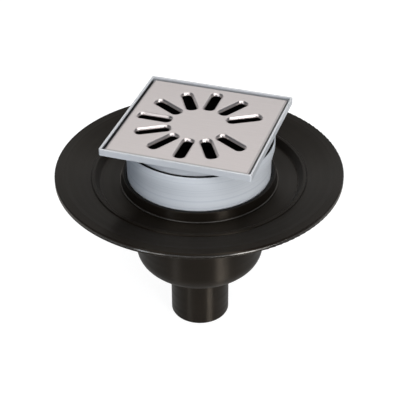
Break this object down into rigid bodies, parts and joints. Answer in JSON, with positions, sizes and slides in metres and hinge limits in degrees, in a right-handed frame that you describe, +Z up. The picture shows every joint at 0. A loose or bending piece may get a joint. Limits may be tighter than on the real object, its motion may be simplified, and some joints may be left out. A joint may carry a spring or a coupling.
{
  "type": "shower drain",
  "caption": "Floor drain for a shower with a wide round flange, vertical outlet, height-adjustable neck, turning square frame, slotted grate and removable cup trap.",
  "frame": {"origin": "centre of the outlet's end face", "axes": "+Z up along the drain's axis, +X and +Y along the sides of the square frame, the grate's bare place towards +X"},
  "size_m": [0.2358, 0.2358, 0.1891],
  "materials": {
    "body_plastic": "black moulded plastic, satin",
    "seal_rubber": "black rubber, matt",
    "neck_plastic": "silver plastic, satin",
    "frame_plastic": "silver plastic, satin, bright edges",
    "grate_steel": "stainless sheet, fine matt brush",
    "trap_plastic": "black moulded plastic, matt"
  },
  "bodies": {
    "base": {"drain_body": "body_plastic", "neck_seal": "seal_rubber", "trap_gasket": "seal_rubber", "trap_tube": "trap_plastic", "trap_cup": "trap_plastic"},
    "riser": {"riser_neck": "neck_plastic", "mouth_seal": "seal_rubber"},
    "cover": {"top_frame": "frame_plastic", "grate": "grate_steel"}
  },
  "joints": [
    {"name": "neck_height", "type": "slide", "parent": "base", "child": "riser", "axis": [0, 0, 1], "range_m": [-0.015, 0.004]},
    {"name": "frame_turn", "type": "hinge", "parent": "riser", "child": "cover", "pos_m": [0, 0, 0.1713], "axis": [0, 0, 1], "continuous": true}
  ]
}
